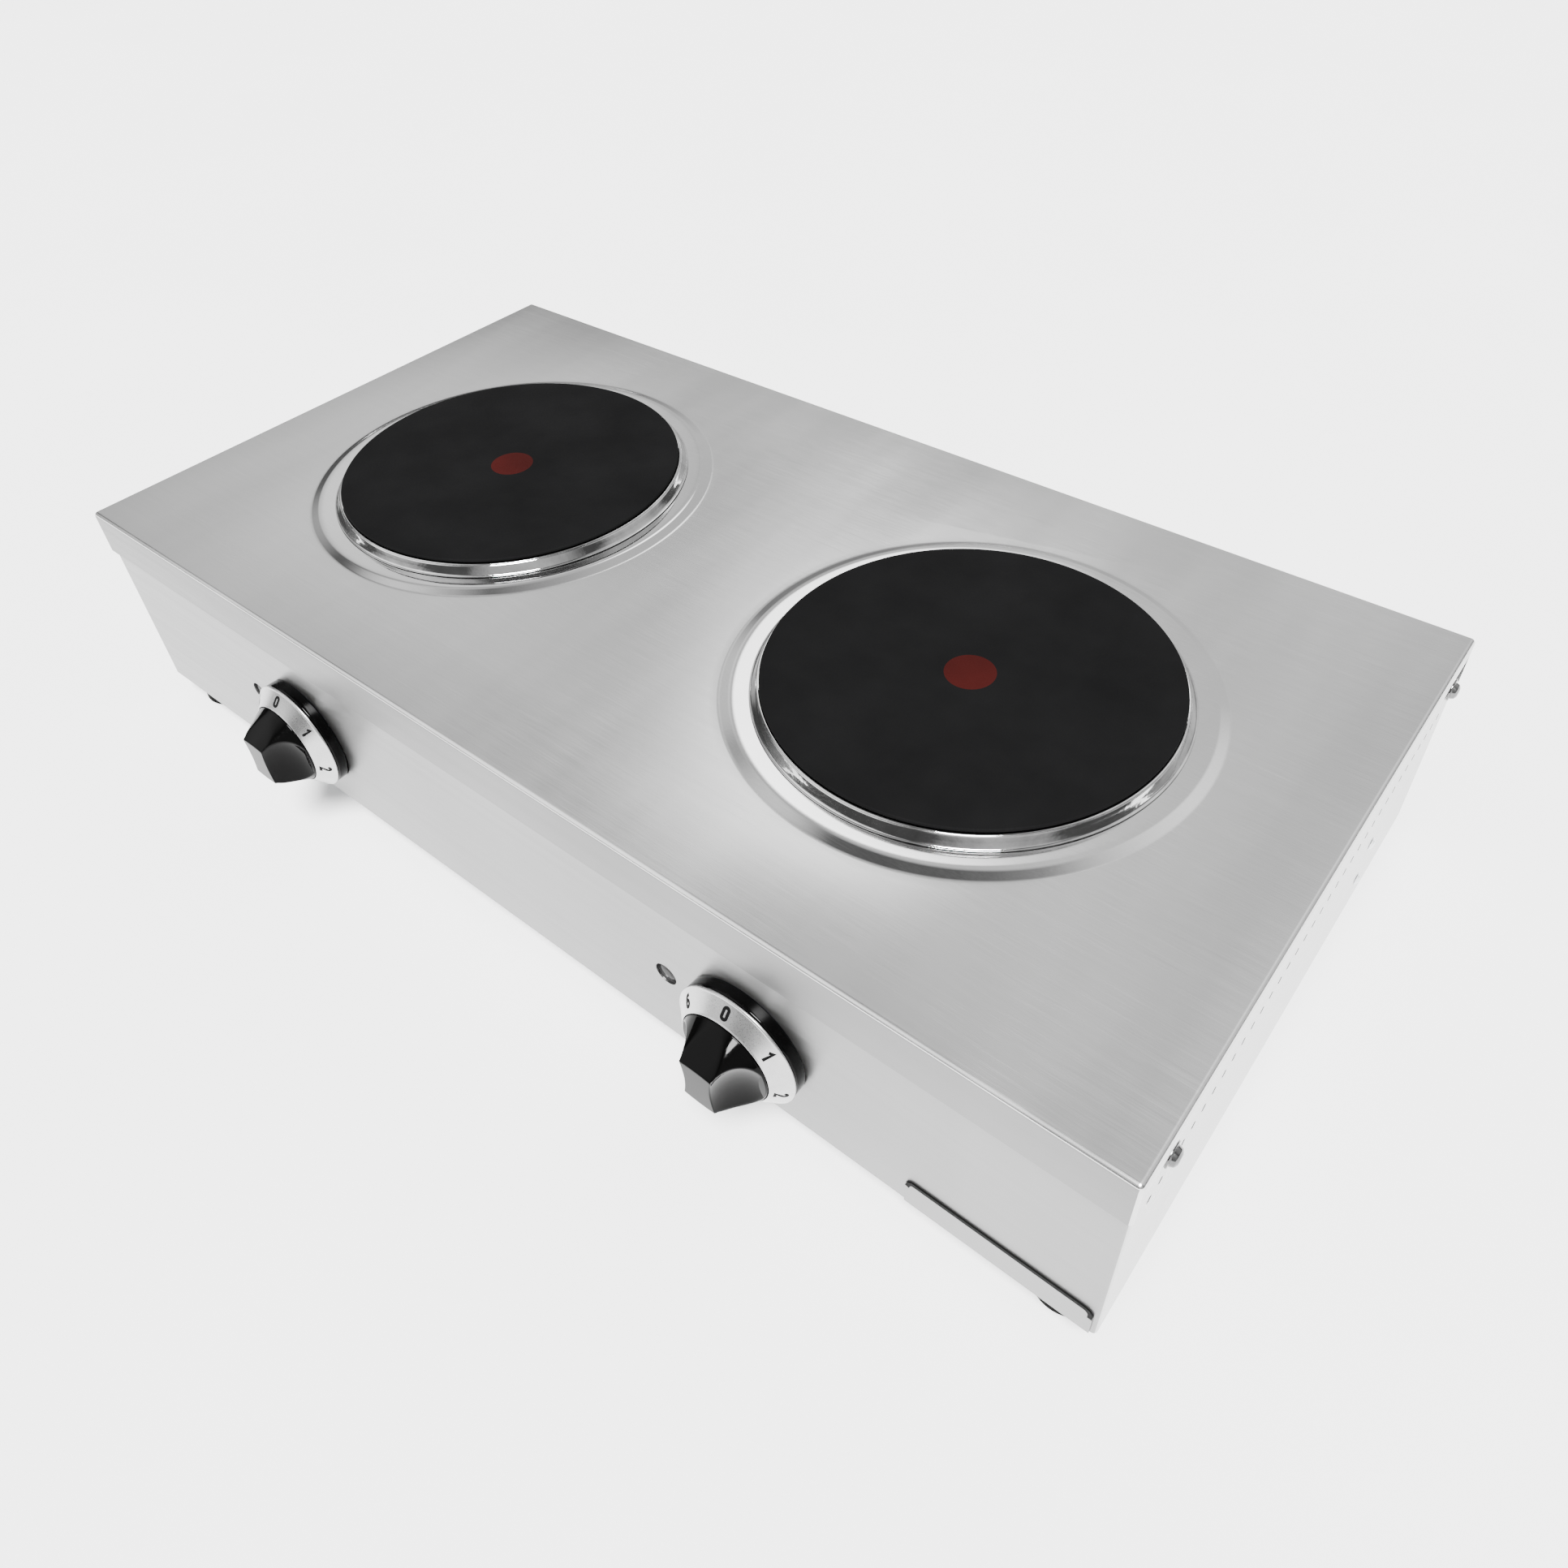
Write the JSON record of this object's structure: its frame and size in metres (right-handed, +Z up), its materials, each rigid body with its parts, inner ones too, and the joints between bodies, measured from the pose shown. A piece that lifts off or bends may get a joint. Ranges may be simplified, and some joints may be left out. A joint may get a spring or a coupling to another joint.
{
  "type": "hot plate burner",
  "caption": "Free-standing counter-top cooker: flat brushed-steel box, round cast-iron hot plates on raised seats, front rotary knobs with numbered dials, rubber feet.",
  "frame": {"origin": "centre of the bounding box at the height of the feet's undersides", "axes": "+Z up, +X to the right seen from the knobs, -Y towards the user"},
  "size_m": [0.6192, 0.361, 0.1397],
  "materials": {
    "steel": "brushed, light grey",
    "chrome": "bright polished",
    "iron": "matt black heat-resistant coating",
    "gloss_black": "glossy black moulding",
    "dial_metal": "satin",
    "lens": "smoky grey lens",
    "rubber": "matt black",
    "zinc": "zinc-plated",
    "galvanised": "galvanised",
    "ceramic": "unglazed cream",
    "switch_plastic": "black moulding",
    "nylon": "black nylon",
    "label_plate": "satin, blank",
    "brass": "plain",
    "wire_sleeve": "woven glass sleeve"
  },
  "bodies": {
    "housing": {"bottom_tray": "galvanised", "bracket_rivet_lower": "zinc", "bracket_rivet_upper": "zinc", "cable_gland_body": "nylon", "cable_gland_cap": "nylon", "cable_gland_locknut": "nylon", "ceramic_connector_left": "ceramic", "ceramic_connector_right": "ceramic", "clamp_bridge_left": "galvanised", "clamp_bridge_right": "galvanised", "clamp_nut_left": "zinc", "clamp_nut_right": "zinc", "cover_bracket_left": "galvanised", "cover_bracket_right": "galvanised", "earth_stud": "brass", "foot_front_left": "rubber", "foot_front_right": "rubber", "foot_rear_left": "rubber", "foot_rear_right": "rubber", "foot_screw_front_left": "zinc", "foot_screw_front_right": "zinc", "foot_screw_rear_left": "zinc", "foot_screw_rear_right": "zinc", "heat_shield_left": "galvanised", "heat_shield_right": "galvanised", "hot_plate_left": "iron", "hot_plate_right": "iron", "housing_wrap": "steel", "nameplate": "label_plate", "overflow_ring_left": "chrome", "overflow_ring_right": "chrome", "pilot_lamp_left": "nylon", "pilot_lamp_right": "nylon", "pilot_lens_left": "lens", "pilot_lens_right": "lens", "plate_harness_left": "wire_sleeve", "plate_harness_right": "wire_sleeve", "rear_panel": "steel", "rotary_switch_left": "switch_plastic", "rotary_switch_right": "switch_plastic", "side_screw_front_left": "zinc", "side_screw_front_right": "zinc", "side_screw_rear_left": "zinc", "side_screw_rear_right": "zinc", "supply_harness": "wire_sleeve", "switch_screw_left_inner": "zinc", "switch_screw_left_outer": "zinc", "switch_screw_right_inner": "zinc", "switch_screw_right_outer": "zinc", "terminal_block": "ceramic", "terminal_bracket": "galvanised", "top_cover": "steel"},
    "knob_assembly_left": {"knob_left": "gloss_black", "dial_ring_left": "dial_metal", "switch_spindle_left": "zinc"},
    "knob_assembly_right": {"knob_right": "gloss_black", "dial_ring_right": "dial_metal", "switch_spindle_right": "zinc"}
  },
  "joints": [
    {"name": "knob_turn_left", "type": "hinge", "parent": "housing", "child": "knob_assembly_left", "pos_m": [-0.1473, -0.1505, 0.0598], "axis": [0, 1, 0], "continuous": true},
    {"name": "knob_turn_right", "type": "hinge", "parent": "housing", "child": "knob_assembly_right", "pos_m": [0.1473, -0.1505, 0.0598], "axis": [0, 1, 0], "continuous": true}
  ]
}
